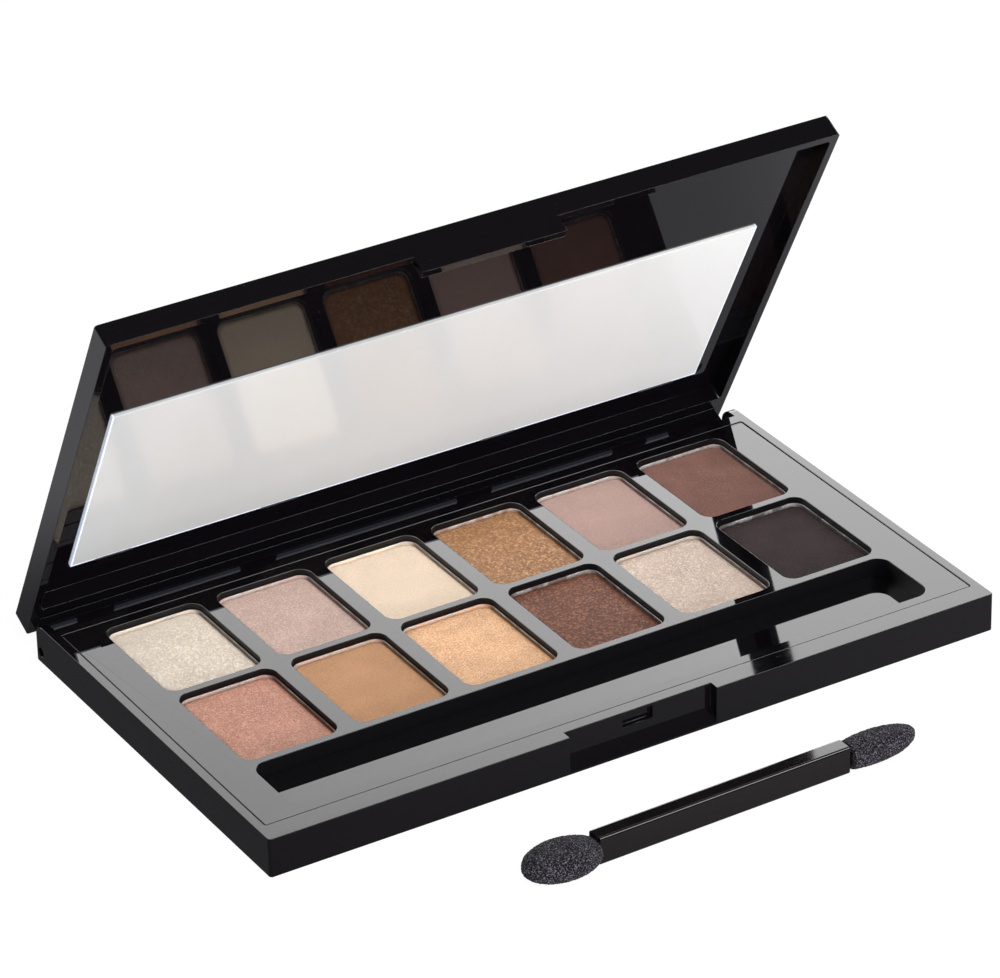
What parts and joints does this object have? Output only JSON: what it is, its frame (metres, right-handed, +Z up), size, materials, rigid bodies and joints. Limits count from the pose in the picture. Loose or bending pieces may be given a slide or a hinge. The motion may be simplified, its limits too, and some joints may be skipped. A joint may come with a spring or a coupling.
{
  "type": "eyeshadow palette",
  "caption": "Slim hinged case with two rows of pressed eye powders in metal pans, a lid mirror, a snap catch and a loose sponge applicator.",
  "frame": {"origin": "centre of the base's underside, on the table", "axes": "+X along the case's length, to the right; +Y to the hinge; +Z up out of the base"},
  "size_m": [0.15, 0.1252, 0.0817],
  "materials": {
    "case_plastic": "high gloss black moulding",
    "tray_plastic": "high gloss black moulding",
    "lid_plastic": "high gloss black moulding, satin outside",
    "pan_metal": "bright drawn metal",
    "glue": "set hot melt",
    "pin_steel": "drawn wire",
    "mirror_glass": "silvered glass with a bevelled edge",
    "tape": "double sided film",
    "handle_plastic": "gloss black moulding",
    "foam": "fine open cell foam",
    "powder_back_1": "pressed powder, silver white shimmer",
    "powder_back_2": "pressed powder, pale mauve shimmer",
    "powder_back_3": "pressed powder, matte cream",
    "powder_back_4": "pressed powder, antique bronze shimmer",
    "powder_back_5": "pressed powder, mauve taupe satin",
    "powder_back_6": "pressed powder, deep brown matte",
    "powder_front_1": "pressed powder, rose brown shimmer",
    "powder_front_2": "pressed powder, matte tan",
    "powder_front_3": "pressed powder, peach gold shimmer",
    "powder_front_4": "pressed powder, dark brown shimmer",
    "powder_front_5": "pressed powder, champagne shimmer",
    "powder_front_6": "pressed powder, charcoal matte"
  },
  "bodies": {
    "base": {"base_shell": "case_plastic", "pan_tray": "tray_plastic", "pan_back_1": "pan_metal", "pan_back_2": "pan_metal", "pan_back_3": "pan_metal", "pan_back_4": "pan_metal", "pan_back_5": "pan_metal", "pan_back_6": "pan_metal", "pan_front_1": "pan_metal", "pan_front_2": "pan_metal", "pan_front_3": "pan_metal", "pan_front_4": "pan_metal", "pan_front_5": "pan_metal", "pan_front_6": "pan_metal", "powder_back_1": "powder_back_1", "powder_back_2": "powder_back_2", "powder_back_3": "powder_back_3", "powder_back_4": "powder_back_4", "powder_back_5": "powder_back_5", "powder_back_6": "powder_back_6", "powder_front_1": "powder_front_1", "powder_front_2": "powder_front_2", "powder_front_3": "powder_front_3", "powder_front_4": "powder_front_4", "powder_front_5": "powder_front_5", "powder_front_6": "powder_front_6", "pan_adhesive": "glue", "hinge_pin_left": "pin_steel", "hinge_pin_right": "pin_steel"},
    "lid": {"lid_shell": "lid_plastic", "mirror": "mirror_glass", "mirror_tape": "tape"},
    "applicator": {"applicator_handle": "handle_plastic", "sponge_broad": "foam", "sponge_slim": "foam"}
  },
  "joints": [
    {"name": "lid_hinge", "type": "hinge", "parent": "base", "child": "lid", "pos_m": [0, 0.0413, 0.0022], "axis": [-1, 0, 0], "range_deg": [-62.2, 27.8]},
    {"name": "applicator_lift", "type": "slide", "parent": "base", "child": "applicator", "axis": [0, 0, 1], "range_m": [0, 0.03]}
  ]
}
